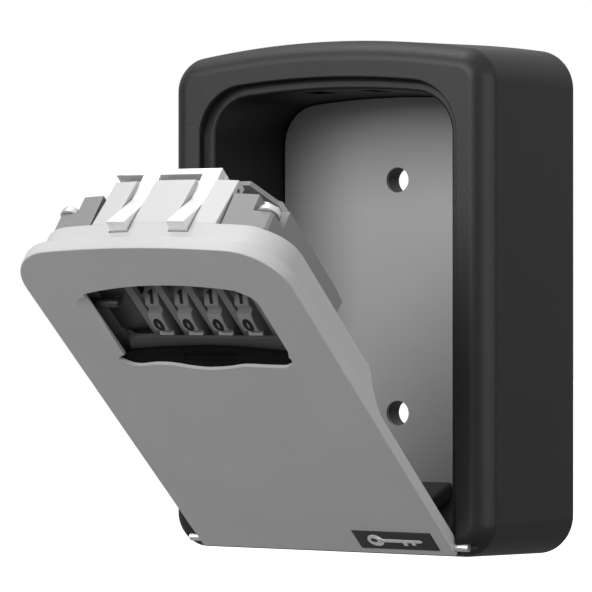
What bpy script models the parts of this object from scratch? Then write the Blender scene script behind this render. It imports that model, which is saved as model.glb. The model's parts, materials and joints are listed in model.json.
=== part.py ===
"""Wall-mounted key lock box with a drop-down combination door.

Frame: +Z up, the box faces -Y, the origin is the middle of the flat wall face.
The rest pose has the door dropped open by DOOR_OPEN degrees.
Run with: blender --background --python part.py

Case pieces are drawn with y = 0 at the case front and z = 0 at its bottom. Door pieces
are drawn upright, with y = 0 at the door's front face and z = 0 at its bottom edge.
Left is -x and right is +x. Cutters overshoot the faces they pass through.
"""

import math

import bmesh
import bpy
from mathutils import Matrix, Vector

MM = 0.001

# ---------------------------------------------------------------- driving sizes (mm)
CASE_W = 86.0          # across the front
CASE_H = 119.9         # front, bottom to the top of the arch
CASE_D = 42.0          # front face to wall face
CASE_FLARE = 1.8       # each side grows this much from front to back
CASE_ARCH = 231.6      # radius of the arched top
CASE_CORNER = 8.0
CASE_MID_Z = 60.0      # height of the origin above the case bottom
FRONT_FILLET = 5.0
RECESS_D = 3.1         # the door flange sits in this recess
OPEN_HW = 34.55        # half width of the recess
OPEN_TOP = 111.1
INNER_HW = 32.0        # half width of the key compartment
INNER_TOP = 108.5
FLOOR_Z = 4.0
INNER_ARCH = 222.0     # arch radius shared by compartment, skirt and housing
INNER_CORNER = 9.8
PANEL_Y = 35.6         # front of the light back plate
PANEL_T = 1.2
WALL_Y = 37.0          # front of the cast back wall

DOOR_OPEN = 50.348     # degrees
DOOR_W = 68.3
DOOR_H = 109.75
DOOR_ARCH = 225.0
DOOR_CORNER = 12.5
FLANGE_T = 3.2
SKIRT_HW = 31.7
SKIRT_TOP = 106.6
SKIRT_BACK = 10.8
SKIRT_T = 2.5
HINGE_B = 1.6          # hinge axis behind the door's front face
HINGE_S = 1.4          # hinge axis above the door's bottom edge
HINGE_Y = 1.42         # hinge axis in the case
HINGE_Z = 2.419
PIN_R = 1.0

DIAL_R = 11.35
DIAL_W = 3.8
DIAL_B = 13.93         # dial axis behind the door's front face
DIAL_S = 79.5          # dial axis above the door's bottom edge
CAM_R = 7.0
SHAFT_R = 1.6
BORE_GAP = 0.06        # radial play of the door's shaft and pin bores
HEAD_GAP = 0.1         # between a screw head and its seat

# ---------------------------------------------------------------- shared places (x, z)
SIDES = (-1, 1)        # left, right
MOUNT_HOLES = [(0, 88.2), (0, 31.6)]
MOUNT_R = 3.07
PLATE_SCREWS = [(side * 24.0, 60.0) for side in SIDES]
PLATE_BORE_Y = 39.6    # seat of the plate screws' heads
RAMP_PEGS = [(side * 10, 12.2) for side in SIDES]

BOSS_TOP = (25.4, 101.9)   # housing bosses on the right; the left ones mirror them
BOSS_LOW = (25.75, 66.0)
TOP_SEAT_Y = 14.9          # seats of the housing screws' heads
LOW_SEAT_Y = 12.6
COVER_SCREWS = [(-25.0, 93.5), (-25.0, 78.5)]
LEVER_SCREW = (-15.7, 87.0)
DIAL_X0, DIAL_PITCH, DIAL_COUNT = -8.12, 7.67, 4
DIAL_XS = [DIAL_X0 + k * DIAL_PITCH for k in range(DIAL_COUNT)]

DOOR_ORIGIN = (0, -HINGE_B, -HINGE_S)   # the door's drawing origin, from the hinge axis

# ---------------------------------------------------------------- looks
CHARCOAL = dict(rgb=(0.035, 0.035, 0.036), roughness=0.55, metallic=0.2)
DOOR_GREY = dict(rgb=(0.30, 0.30, 0.31), roughness=0.45, metallic=0.3)
HOUSING_GREY = dict(rgb=(0.22, 0.22, 0.23), roughness=0.5, metallic=0.3)
PLATE_GREY = dict(rgb=(0.36, 0.36, 0.37), roughness=0.4, metallic=0.4)
ZINC = dict(rgb=(0.80, 0.80, 0.80), roughness=0.3, metallic=0.9)
STEEL = dict(rgb=(0.65, 0.65, 0.66), roughness=0.3, metallic=1.0)
BLACK = dict(rgb=(0.012, 0.012, 0.012), roughness=0.4, metallic=0.0)
FRAME_GREY = dict(rgb=(0.12, 0.12, 0.12), roughness=0.5, metallic=0.1)
DIAL_GREY = dict(rgb=(0.25, 0.25, 0.26), roughness=0.45, metallic=0.2)

for old in list(bpy.data.objects):
    bpy.data.objects.remove(old, do_unlink=True)
parts = bpy.data.collections.new("key_lock_box")
cutters = bpy.data.collections.new("cutters")
bpy.context.scene.collection.children.link(parts)
bpy.context.scene.collection.children.link(cutters)


def material(name, rgb, roughness, metallic):
    mat = bpy.data.materials.new(name)
    mat.use_nodes = True
    shader = mat.node_tree.nodes["Principled BSDF"]
    shader.inputs["Base Color"].default_value = (*rgb, 1.0)
    shader.inputs["Roughness"].default_value = roughness
    shader.inputs["Metallic"].default_value = metallic
    mat.diffuse_color = (*rgb, 1.0)
    return mat


def finish(ob, look, sharp_angle=30):
    """Give a piece its own material and shade it smooth up to sharp_angle degrees."""
    ob.data.materials.append(material(ob.name, **look))
    ob.data.shade_smooth()
    ob.data.set_sharp_from_angle(angle=math.radians(sharp_angle))
    return ob


# ---------------------------------------------------------------- outlines in x and z
def arc(cx, cz, radius, start, end, steps):
    """steps + 1 points from angle start to end, in degrees."""
    angles = [math.radians(start + (end - start) * i / steps) for i in range(steps + 1)]
    return [(cx + radius * math.cos(a), cz + radius * math.sin(a)) for a in angles]


def crown(top, radius, start, end, steps):
    """Arc centred on x = 0 with its apex at height top."""
    return arc(0, top - radius, radius, start, end, steps)


def crown_at(x, top, radius, cx=0.0):
    """Point at x on an arch with its apex at (cx, top)."""
    return x, top - radius + math.sqrt(radius ** 2 - (x - cx) ** 2)


def crown_span(x0, x1, steps, top, radius, cx):
    """Points on an arch at even steps in x."""
    return [crown_at(x0 + (x1 - x0) * i / steps, top, radius, cx) for i in range(steps + 1)]


def arched(half_w, bottom, top, arch_r, corner, foot=0.0, arch_steps=10, corner_steps=6,
           grow=0.0):
    """Upright outline with an arched top, counter-clockwise from the bottom left.

    corner and foot are the top and bottom corner radii; grow offsets the outline outwards."""
    half_w += grow
    bottom -= grow
    top += grow
    arch_r += grow
    corner += grow
    arch_z = top - arch_r                # arch centre, on x = 0
    # the corner circle is tangent to the side and lies inside the arch circle
    cx = half_w - corner
    cz = arch_z + math.sqrt((arch_r - corner) ** 2 - cx ** 2)
    joint = math.degrees(math.atan2(cz - arch_z, cx))    # where corner and arch meet
    if foot:
        foot += grow
        pts = arc(-half_w + foot, bottom + foot, foot, 180, 270, corner_steps)
        pts += arc(half_w - foot, bottom + foot, foot, 270, 360, corner_steps)
    else:
        pts = [(-half_w, bottom), (half_w, bottom)]
    pts += arc(cx, cz, corner, 0, joint, corner_steps)
    pts += arc(0, arch_z, arch_r, joint, 180 - joint, arch_steps)[1:-1]
    pts += arc(-cx, cz, corner, 180 - joint, 180, corner_steps)
    return pts


def case_outline(grow=0.0):
    return arched(CASE_W / 2, 0, CASE_H, CASE_ARCH, CASE_CORNER, foot=CASE_CORNER,
                  arch_steps=12, grow=grow)


def compartment_outline(grow=0.0):
    return arched(INNER_HW, FLOOR_Z, INNER_TOP, INNER_ARCH, INNER_CORNER, foot=5.0,
                  arch_steps=8, corner_steps=5, grow=grow)


def rect(x0, z0, x1, z1):
    return [(x0, z0), (x1, z0), (x1, z1), (x0, z1)]


def side_span(side, near, far):
    """Ascending x range between two distances from the centre line, on one side."""
    return sorted((side * near, side * far))


# ---------------------------------------------------------------- solid builders
def new_object(name, mesh):
    mesh.name = name
    ob = bpy.data.objects.new(name, mesh)
    parts.objects.link(ob)
    return ob


def object_from(bm, name):
    mesh = bpy.data.meshes.new(name)
    bm.to_mesh(mesh)
    bm.free()
    return new_object(name, mesh)


def weld(mesh):
    """Close the seams of a converted curve and merge its flat faces."""
    bm = bmesh.new()
    bm.from_mesh(mesh)
    bmesh.ops.remove_doubles(bm, verts=bm.verts, dist=0.01 * MM)
    bmesh.ops.dissolve_limit(bm, angle_limit=math.radians(0.05), verts=bm.verts, edges=bm.edges)
    bmesh.ops.recalc_face_normals(bm, faces=bm.faces)
    bm.to_mesh(mesh)
    bm.free()


def add_path(curve, pts, closed):
    """Add a straight-sided path through points given in mm."""
    path = curve.splines.new("POLY")
    path.points.add(len(pts) - 1)
    for point, (x, y, z) in zip(path.points, pts):
        point.co = (x * MM, y * MM, z * MM, 1)
    path.use_cyclic_u = closed


def mesh_of_curve(curve):
    """Convert a curve to a mesh and discard the curve."""
    holder = bpy.data.objects.new(curve.name, curve)
    cutters.objects.link(holder)
    bpy.context.view_layer.update()
    depsgraph = bpy.context.evaluated_depsgraph_get()
    mesh = bpy.data.meshes.new_from_object(holder.evaluated_get(depsgraph))
    bpy.data.objects.remove(holder, do_unlink=True)
    bpy.data.curves.remove(curve)
    return mesh


def slab(name, outline, y0, y1):
    """Outline in x and z, with thickness from y0 to y1."""
    curve = bpy.data.curves.new(name + "_outline", "CURVE")
    curve.dimensions = "2D"
    curve.fill_mode = "BOTH"
    curve.extrude = (y1 - y0) / 2 * MM
    add_path(curve, [(x, z, 0) for x, z in outline], closed=True)
    mesh = mesh_of_curve(curve)
    stand_up = Matrix.Rotation(math.radians(90), 4, "X")
    mesh.transform(Matrix.Translation((0, (y0 + y1) / 2 * MM, 0)) @ stand_up)
    weld(mesh)
    return new_object(name, mesh)


def profile(name, section, x0, x1):
    """Section in y and z, extruded along x."""
    ob = slab(name, [(-y, z) for y, z in section], x0, x1)
    # the slab's x is -y and its y is x
    ob.data.transform(Matrix(((0, 1, 0, 0), (-1, 0, 0, 0), (0, 0, 1, 0), (0, 0, 0, 1))))
    return ob


def plan(name, outline, z0, z1):
    """Outline in x and y, extruded along z."""
    ob = slab(name, outline, -z1, -z0)
    ob.data.transform(Matrix.Rotation(math.radians(-90), 4, "X"))
    return ob


def box(name, low, high):
    size = [(b - a) * MM for a, b in zip(low, high)]
    middle = [(a + b) / 2 * MM for a, b in zip(low, high)]
    bm = bmesh.new()
    bmesh.ops.create_cube(bm, size=1.0)
    place = Matrix.Translation(middle) @ Matrix.Diagonal((*size, 1))
    bmesh.ops.transform(bm, matrix=place, verts=bm.verts)
    return object_from(bm, name)


def side_box(name, side, low, high):
    """Box whose x values are distances from the centre line, on one side."""
    x0, x1 = side_span(side, low[0], high[0])
    return box(name, (x0, *low[1:]), (x1, *high[1:]))


def rod(name, start, end, radius, n, turn=0.0):
    """Round bar with n sides, turned by turn degrees about its axis."""
    start, end = Vector(start) * MM, Vector(end) * MM
    along = end - start
    bm = bmesh.new()
    bmesh.ops.create_cone(bm, cap_ends=True, cap_tris=False, segments=n, radius1=radius * MM,
                          radius2=radius * MM, depth=along.length)
    aim = Vector((0, 0, 1)).rotation_difference(along.normalized()).to_matrix().to_4x4()
    spin = Matrix.Rotation(math.radians(turn), 4, "Z")
    place = Matrix.Translation((start + end) / 2) @ aim @ spin
    bmesh.ops.transform(bm, matrix=place, verts=bm.verts)
    return object_from(bm, name)


def rod_x(name, x0, x1, at, radius, n, turn=0.0):
    """Rod along x at (y, z)."""
    return rod(name, (x0, *at), (x1, *at), radius, n, turn)


def rod_y(name, at, y0, y1, radius, n):
    """Rod along y at (x, z)."""
    x, z = at
    return rod(name, (x, y0, z), (x, y1, z), radius, n)


def boolean(ob, tool, operation):
    parts.objects.unlink(tool)
    cutters.objects.link(tool)
    tool.hide_render = True
    tool.display_type = "WIRE"
    mod = ob.modifiers.new(operation.lower() + "_" + tool.name, "BOOLEAN")
    mod.operation = operation
    mod.object = tool
    mod.solver = "EXACT"


def cut(ob, *tools):
    for tool in tools:
        boolean(ob, tool, "DIFFERENCE")


def join(ob, *tools):
    for tool in tools:
        boolean(ob, tool, "UNION")


def drill(ob, stem, places, y0, y1, radius, n):
    """Numbered holes along y at (x, z) places."""
    for k, at in enumerate(places):
        cut(ob, rod_y(f"{stem}_{k}", at, y0, y1, radius, n))


def weighted_bevel(ob, name, width, segments):
    bevel = ob.modifiers.new(name, "BEVEL")
    bevel.limit_method = "WEIGHT"
    bevel.width = width * MM
    bevel.segments = segments
    bevel.use_clamp_overlap = False


def bolt(name, at, seat_y, head_r, head_h, shank_r, length):
    """Pan head screw at (x, z): the head rises to +y, the shank runs to -y."""
    x, z = at
    under = seat_y + HEAD_GAP
    top = under + head_h
    ob = rod_y(name, at, under, top, head_r, n=24)
    join(ob, rod_y(name + "_shank", at, under + 0.1, under - length, shank_r, n=12))
    # cross slot, 0.6 deep
    arm, half_slot = head_r * 0.62, 0.28
    for letter, dx, dz in (("a", arm, half_slot), ("b", half_slot, arm)):
        cut(ob, box(f"{name}_slot_{letter}", (x - dx, top - 0.6, z - dz),
                    (x + dx, top + 0.3, z + dz)))
    return finish(ob, STEEL)


def empty(name, location, tilt=0.0, parent=None):
    """Empty at a place in mm, turned by tilt degrees about x."""
    ob = bpy.data.objects.new(name, None)
    ob.empty_display_size = 0.01
    ob.location = Vector(location) * MM
    ob.rotation_euler = (math.radians(tilt), 0, 0)
    ob.parent = parent
    parts.objects.link(ob)
    return ob


def mount_on(holder, *pieces, offset=(0, 0, 0)):
    """Parent pieces and their tools to an empty, shifted by offset."""
    for piece in pieces:
        tools = [mod.object for mod in piece.modifiers if mod.type == "BOOLEAN"]
        for ob in (piece, *tools):
            ob.parent = holder
            ob.location = Vector(offset) * MM


# ---------------------------------------------------------------- case
def case_blank():
    """Solid that flares from the front outline to the wall-side outline."""
    def point(xz, y):
        return Vector((xz[0] * MM, y * MM, xz[1] * MM))

    outlines = list(zip(case_outline(), case_outline(grow=CASE_FLARE)))
    bm = bmesh.new()
    weight = bm.edges.layers.float.new("bevel_weight_edge")
    face = bm.faces.new([bm.verts.new(point(front, 0)) for front, _ in outlines])
    grown = bmesh.ops.extrude_face_region(bm, geom=[face])
    for vert in [g for g in grown["geom"] if isinstance(g, bmesh.types.BMVert)]:
        # each new corner starts on top of a front one and moves out to the wall side
        _, back = min(outlines, key=lambda pair: (point(pair[0], 0) - vert.co).length)
        vert.co = point(back, CASE_D)
    for edge in bm.edges:
        edge[weight] = 1.0 if all(abs(v.co.y) < 1e-9 for v in edge.verts) else 0.0
    bmesh.ops.recalc_face_normals(bm, faces=bm.faces)
    return object_from(bm, "case_body")


def make_case_body():
    wall_end = CASE_D + 2
    core_y = 13.0          # front of the coring
    hinge = (HINGE_Y, HINGE_Z)
    ob = finish(case_blank(), CHARCOAL, 35)
    weighted_bevel(ob, "front_fillet", FRONT_FILLET, segments=5)
    recess = arched(OPEN_HW, -12, OPEN_TOP, 224.0, 12.4, arch_steps=8)
    cut(ob,
        slab("case_recess", recess, -6, RECESS_D),
        slab("case_inside", compartment_outline(), RECESS_D - 1, WALL_Y),
        rod_x("case_hinge_relief", -OPEN_HW, OPEN_HW, hinge, 2.3, n=20))
    drill(ob, "case_mount_hole", MOUNT_HOLES, WALL_Y - 2, wall_end, MOUNT_R, n=24)
    for k, side in enumerate(SIDES):
        cut(ob,
            # pocket behind the rim that the latch hooks spring into
            side_box(f"case_strike_{k}", side, (4.9, 7.4, INNER_TOP - 3), (10.4, 16.0, 110.8)),
            rod_x(f"case_pin_hole_{k}", side * (OPEN_HW - 1), side * 37.7, hinge,
                  PIN_R + 0.05, n=16),
            # coring from the wall side
            side_box(f"case_core_{k}", side, (35.4, core_y, 10.0), (41.4, wall_end, 98.0)))
    core_top = crown(117.6, 228, 82.4, 97.6, 8) + crown(111.9, 222, 97.8, 82.2, 8)
    cut(ob, slab("case_core_top", core_top, core_y, wall_end))
    for k, at in enumerate(PLATE_SCREWS):
        cut(ob,
            rod_y(f"case_plate_hole_{k}", at, WALL_Y - 2, wall_end, 1.55, n=16),
            rod_y(f"case_plate_bore_{k}", at, PLATE_BORE_Y, wall_end, 3.1, n=20))
    return ob


def make_back_plate():
    ob = slab("back_plate", compartment_outline(grow=-0.3), PANEL_Y, PANEL_Y + PANEL_T)
    for stem, places, radius, n in (
            ("plate_mount_hole", MOUNT_HOLES, MOUNT_R, 24),
            ("plate_thread", PLATE_SCREWS, 1.35, 14),
            ("plate_peg_hole", RAMP_PEGS, 1.35, 14)):
        drill(ob, stem, places, PANEL_Y - 2, PANEL_Y + 4, radius, n)
    return finish(ob, PLATE_GREY)


def make_key_ramp():
    """Dark wedge across the foot of the back plate: keys slide off it towards the door."""
    back = PANEL_Y - 0.3
    section = [(back, 11.3), (back, 15.5), (21.0, 10.7), (19.6, 9.4), (19.6, 7.9), (20.4, 6.4)]
    ob = profile("key_ramp", section, -15.5, 15.5)
    bevel = ob.modifiers.new("edges", "BEVEL")
    bevel.width = 1.0 * MM
    bevel.segments = 3
    bevel.limit_method = "ANGLE"
    bevel.angle_limit = math.radians(50)
    for k, at in enumerate(RAMP_PEGS):
        join(ob, rod_y(f"ramp_peg_{k}", at, PANEL_Y - 3, PANEL_Y + PANEL_T, 1.25, n=14))
    return finish(ob, FRAME_GREY)


def make_plate_screws():
    return [bolt(f"back_plate_screw_{k}", at, PLATE_BORE_Y, head_r=2.7, head_h=1.6,
                 shank_r=1.3, length=4.0)
            for k, at in enumerate(PLATE_SCREWS, 1)]


def make_hinge_pins():
    return [finish(rod_x(f"hinge_pin_{word}", side * 28.4, side * 37.5, (HINGE_Y, HINGE_Z),
                         PIN_R, n=16), STEEL)
            for word, side in zip(("left", "right"), SIDES)]


# ---------------------------------------------------------------- door shell
# the skirt's back edge and lower end are trimmed by these sections, (y, z)
SKIRT_SLOPE = [(9.8, 112.0), (9.8, 103.2), (10.85, 93.5), (13.0, 93.5), (13.0, 112.0)]
SKIRT_TAPER = [
    (12.5, 57.0), (10.95, 57.0), (10.6, 55.6), (9.9, 54.2), (8.4, 52.4), (7.0, 49.3),
    (6.0, 46.4), (4.6, 42.0), (3.2, 37.0), (3.2, 30.0), (12.5, 30.0),
]
SKIRT_FOOT = 34.0      # lower end of the skirt before trimming
TOP_BLOCK = [(4.0, 105.4), (4.0, 102.0), (23.5, 101.6), (23.5, 107.2), (9.79, 107.2),
             (9.79, 105.4)]                          # (y, z)
BLOCK_Y = 9.77         # where the block's arched top starts
BLOCK_TOP = 106.55     # its apex there
BLOCK_FALL = 0.108     # drop per mm towards the back
WINDOW_LOW = [         # lower edge of the window, (x, z)
    (-19.5, 69.4), (-16.5, 69.15), (-12.9, 69.3), (-8.6, 68.6), (-3.4, 67.7), (0.8, 67.6),
    (5.0, 68.2), (9.7, 69.1), (13.5, 69.4), (18.0, 69.2), (21.4, 69.3),
]
SCOOP = [(-2.0, 75.5), (0.02, 75.5), (0.42, 79.0), (0.42, 92.5), (0.0, 93.6),
         (-2.0, 93.6)]                               # (y, z)
BADGE_POCKET = (10.2, 1.9, 30.9, 8.8)                # x0, z0, x1, z1
BADGE_GAP = 0.15


def door_flange():
    """Flange plate with a rounded bottom edge and lightly broken other edges."""
    outline = arched(DOOR_W / 2, 0, DOOR_H, DOOR_ARCH, DOOR_CORNER, corner_steps=7)
    ob = slab("door_shell", outline, 0, FLANGE_T)
    bm = bmesh.new()
    bm.from_mesh(ob.data)
    weight = bm.edges.layers.float.new("bevel_weight_edge")
    for edge in bm.edges:
        flat = abs(edge.verts[0].co.y - edge.verts[1].co.y) < 1e-7
        low = all(v.co.z < 0.05 * MM for v in edge.verts)
        rim = len(edge.link_faces) == 2 and edge.calc_face_angle(0) > 1.0
        if flat and rim:
            edge[weight] = 1.0 if low else 0.18
    bm.to_mesh(ob.data)
    bm.free()
    weighted_bevel(ob, "edges", 1.45, segments=3)
    return ob


def door_skirt():
    """Wall inside the flange's edge, open at the bottom."""
    outer = arched(SKIRT_HW, SKIRT_FOOT, SKIRT_TOP, INNER_ARCH, INNER_CORNER, arch_steps=8)
    inner = arched(SKIRT_HW - SKIRT_T, SKIRT_FOOT, SKIRT_TOP - SKIRT_T, INNER_ARCH - SKIRT_T,
                   7.4, arch_steps=8)
    # out along the outer wall, back along the inner one
    outline = outer[:1] + inner[:1] + inner[:0:-1] + outer[1:]
    return slab("door_skirt", outline, FLANGE_T - 0.4, SKIRT_BACK)


def door_block_top():
    """Cutter above the top block; it falls towards the back."""
    outline = crown(BLOCK_TOP, INNER_ARCH, 85.7, 94.3, 8) + [(-16.6, 112.0), (16.6, 112.0)]
    ob = slab("door_block_top", outline, BLOCK_Y, 25.0)
    for vert in ob.data.vertices:
        vert.co.z -= BLOCK_FALL * (vert.co.y - BLOCK_Y * MM)
    return ob


def door_window():
    """Window with the pocket for the shutter's thumb lip below it."""
    outline = (WINDOW_LOW + arc(21.4, 70.5, 1.2, -60, 0, 3) + [(22.6, 74.0), (23.4, 74.6)]
               + arc(18.9, 90.3, 4.5, 0, 55, 5)
               + crown_span(19.4, -19.5, 8, top=97.2, radius=82.0, cx=2.0))
    return slab("door_window", outline, -1, 1.6)


def make_door_shell():
    (top_x, top_z), (low_x, low_z) = BOSS_TOP, BOSS_LOW
    ob = door_flange()
    join(ob, door_skirt())
    cut(ob, profile("door_skirt_slope", SKIRT_SLOPE, -40, 40))
    # block behind the skirt's top edge that carries the latch arms
    join(ob, profile("door_top_block", TOP_BLOCK, -15.9, 15.9))
    cut(ob, door_block_top())
    for k, side in enumerate(SIDES):
        join(ob,
             rod_y(f"door_boss_top_{k}", (side * top_x, top_z), FLANGE_T - 0.4, 9.75, 2.5, n=20),
             rod_y(f"door_boss_low_{k}", (side * low_x, low_z), FLANGE_T - 0.4, SKIRT_BACK,
                   2.6, n=20))
    cut(ob,
        profile("door_skirt_taper", SKIRT_TAPER, -40, 40),
        # shutter channel behind a thin skin
        slab("door_channel", rect(-25.0, 46.5, 25.0, 98.3), 0.85, FLANGE_T + 0.6),
        door_window(),
        # shallow scoop at the window's left edge
        profile("door_scoop", SCOOP, -22.9, -19.0))
    for k, side in enumerate(SIDES):
        cut(ob,
            side_box(f"door_arm_slot_{k}", side, (5.15, 7.2, 95.0), (10.15, 26.0, 112.0)),
            rod_x(f"door_pin_bore_{k}", side * 27.9, side * 36, (HINGE_B, HINGE_S),
                  PIN_R + BORE_GAP, n=16),
            rod_y(f"door_thread_top_{k}", (side * top_x, top_z), 4.6, 12.0, 1.08, n=12),
            rod_y(f"door_thread_low_{k}", (side * low_x, low_z), 4.6, 12.0, 1.08, n=12))
    cut(ob,
        slab("door_badge_pocket", rect(*BADGE_POCKET), -1, 0.4),
        rod_x("door_block_hole", 12.0, 18.0, (21.3, 103.2), 0.6, n=10))
    return finish(ob, DOOR_GREY, 35)


def make_label_badge():
    x0, z0, x1, z1 = BADGE_POCKET
    outline = rect(x0 + BADGE_GAP, z0 + BADGE_GAP, x1 - BADGE_GAP, z1 - BADGE_GAP)
    return finish(slab("label_badge", outline, -0.12, 0.3), BLACK)


# ---------------------------------------------------------------- lock housing
HOUSING_HW = 27.5
HOUSING_Z = (58.6, 103.2)   # bottom, and top of the straight sides
GAP_HW = 16.2               # half width of the gap in the top
HOUSING_FRONT = [(9.0, 50.0), (11.1, 50.0), (11.1, 93.5), (10.1, 103.2), (9.0, 103.2)]  # (y, z)
HOUSING_CHAMFER = [(20.1, 72.5), (11.0, 58.9), (10.4, 57.0), (24.0, 57.0), (24.0, 72.5)]


def make_lock_housing():
    """Cast frame around the lock, screwed to the door at four bosses."""
    bottom, top = HOUSING_Z
    shoulder = [crown_at(x, 105.55, INNER_ARCH) for x in (26.9, 22.0, GAP_HW)]
    outline = ([(-HOUSING_HW, bottom), (HOUSING_HW, bottom), (HOUSING_HW, top)] + shoulder
               + [(GAP_HW, 101.2), (-GAP_HW, 101.2)]
               + [(-x, z) for x, z in reversed(shoulder)] + [(-HOUSING_HW, top)])
    ob = slab("lock_housing", outline, 10.1, 19.4)
    cut(ob,
        profile("housing_front", HOUSING_FRONT, -40, 40),
        slab("housing_hole", rect(-21.0, 62.0, 24.1, 101.0), 9, 23),
        box("housing_gap", (-GAP_HW, 9, 99), (GAP_HW, 23, 110)),
        profile("housing_chamfer", HOUSING_CHAMFER, -40, 40))
    (top_x, top_z), (low_x, low_z) = BOSS_TOP, BOSS_LOW
    for k, side in enumerate(SIDES):
        cut(ob,
            side_box(f"housing_notch_{k}", side, (22.6, TOP_SEAT_Y, 98.5), (30, 23, 110)),
            rod_y(f"housing_clear_top_{k}", (side * top_x, top_z), 9, 16, 1.25, n=14),
            side_box(f"housing_low_flat_{k}", side, (23.8, LOW_SEAT_Y, 56.0), (30, 22, 69.3)),
            rod_y(f"housing_clear_low_{k}", (side * low_x, low_z), 9, 16, 1.25, n=14))
    drill(ob, "housing_thread", COVER_SCREWS, 14.0, 23, 0.88, n=12)
    return finish(ob, HOUSING_GREY)


def make_housing_screws():
    screws = []
    for level, (x, z), seat_y, head_r, length in (
            ("top", BOSS_TOP, TOP_SEAT_Y, 2.5, 9.4),
            ("low", BOSS_LOW, LOW_SEAT_Y, 1.9, 7.2)):
        for word, side in zip(("left", "right"), SIDES):
            screws.append(bolt(f"housing_screw_{level}_{word}", (side * x, z), seat_y,
                               head_r=head_r, head_h=1.45, shank_r=1.0, length=length))
    return screws


# ---------------------------------------------------------------- dial frame, shaft, detents
FRAME_OUTLINE = [      # face plate, (x, z)
    (-22.6, 64.0), (22.6, 64.0), (22.6, 68.4), (24.8, 69.3), (24.8, 97.7), (-24.8, 97.7),
    (-24.8, 69.2), (-22.6, 68.3),
]
CHEEK = [(5.0, 73.6), (14.1, 73.6), (17.5, 77.0), (17.5, 82.0), (14.1, 85.6),
         (5.0, 85.6)]                                # (y, z)
DIAL_AXIS = (DIAL_B, DIAL_S)


def make_dial_frame():
    """Face plate with side rails for the shutter and cheeks for the shaft."""
    ob = slab("dial_frame", FRAME_OUTLINE, 4.1, 5.5)
    join(ob,
         box("frame_left_rail", (-24.7, 1.95, 69.35), (-19.6, 4.5, 97.6)),
         box("frame_right_rail", (23.65, 1.95, 69.35), (24.7, 4.5, 97.6)),
         box("frame_left_post", (-24.6, 5.0, 82.0), (-22.4, 10.3, 97.0)),
         box("frame_right_post", (22.5, 5.0, 82.0), (24.6, 10.3, 97.0)),
         profile("frame_left_cheek", CHEEK, -11.95, -10.35),
         profile("frame_right_cheek", CHEEK, 20.65, 22.25),
         box("frame_shelf", (-11.9, 4.9, 64.1), (22.2, 13.0, 65.4)))
    cut(ob,
        box("frame_lever_slot", (-19.5, 0, 77.3), (-12.1, 8, 96.4)),
        rod_x("frame_shaft_bore", -14, 26, DIAL_AXIS, SHAFT_R + BORE_GAP, n=20))
    for k, x in enumerate(DIAL_XS):
        cut(ob, box(f"frame_dial_slot_{k}", (x - 2.12, 0, 69.4), (x + 2.12, 7, 93.8)))
    return finish(ob, FRAME_GREY)


def make_shutter_guide():
    outline = ([(-24.6, 46.8), (24.6, 46.8), (24.6, 68.9), (23.4, 68.9), (23.4, 77.3)]
               + arc(-13.7, 73.0, 4.3, 90, 180, 6) + [(-18.0, 68.9), (-24.6, 68.9)])
    return finish(slab("shutter_guide", outline, 1.95, 2.68), BLACK)


def make_dial_shaft():
    return finish(rod_x("dial_shaft", -11.9, 23.8, DIAL_AXIS, SHAFT_R, n=20), STEEL)


def make_shaft_clip():
    """Ring on the shaft, open towards the front."""
    ob = rod_x("shaft_clip", 22.45, 23.15, DIAL_AXIS, 2.9, n=24)
    cut(ob,
        rod_x("clip_bore", 21, 25, DIAL_AXIS, SHAFT_R + BORE_GAP, n=20),
        box("clip_gap", (21, DIAL_B - 4, DIAL_S - 0.7), (25, DIAL_B - 1.0, DIAL_S + 0.7)))
    return finish(ob, STEEL)


def make_detent_spring():
    """Leaf below the dials, slit into fingers with a bump under each dial."""
    ob = box("detent_spring", (-10.3, 6.0, 65.7), (20.6, 15.2, 66.15))
    for k, x in enumerate(DIAL_XS):
        join(ob, rod_x(f"detent_bump_{k}", x - 1.6, x + 1.6, (DIAL_B, 66.9), 0.9, n=12, turn=15))
    for k in range(DIAL_COUNT + 1):
        x = DIAL_X0 + (k - 0.5) * DIAL_PITCH
        cut(ob, box(f"detent_slit_{k}", (x - 1.5, 8.5, 64), (x + 1.5, 17, 68)))
    return finish(ob, STEEL)


# ---------------------------------------------------------------- rear cover
COVER_OUTER = [        # seen from above, (x, y)
    (-21.9, 19.7), (-20.6, 19.7), (-20.6, 17.9), (23.6, 17.9), (23.6, 23.3), (17.4, 30.2),
    (-20.9, 30.2), (-21.9, 29.2),
]
COVER_INNER = [(-20.6, 16.0), (22.4, 16.0), (22.4, 22.98), (16.85, 29.0), (-20.6, 29.0)]
COVER_SLOPE = [(12.0, 97.5), (16.5, 90.0), (26.0, 85.0), (26.0, 99.0), (12.0, 99.0)]  # (x, z)
COVER_TOP = 96.6
COVER_FLANGE_BACK = 20.9


def make_rear_cover():
    """Tub open at the top, its right corner sloped, its right wall sunk into the housing."""
    ob = plan("rear_cover", COVER_OUTER, 63.8, COVER_TOP)
    join(ob, box("cover_floor", (-20.8, 13.5, 63.85), (22.0, 19.0, 65.1)))
    cut(ob,
        plan("cover_inside", COVER_INNER, 65.1, 110.0),
        slab("cover_slope", COVER_SLOPE, 16.0, 34.0))
    join(ob, box("cover_flange", (-26.9, 19.7, 74.0), (-20.75, COVER_FLANGE_BACK, COVER_TOP)))
    cut(ob, box("cover_code_slot", (4.8, 28.0, 83.8), (12.2, 32.0, 87.2)))
    drill(ob, "cover_hole", COVER_SCREWS, 19, 23, 1.0, n=12)
    return finish(ob, HOUSING_GREY)


def make_cover_screws():
    return [bolt(f"cover_screw_{k}", at, COVER_FLANGE_BACK, head_r=1.6, head_h=1.1,
                 shank_r=0.8, length=5.8)
            for k, at in enumerate(COVER_SCREWS, 1)]


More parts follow.
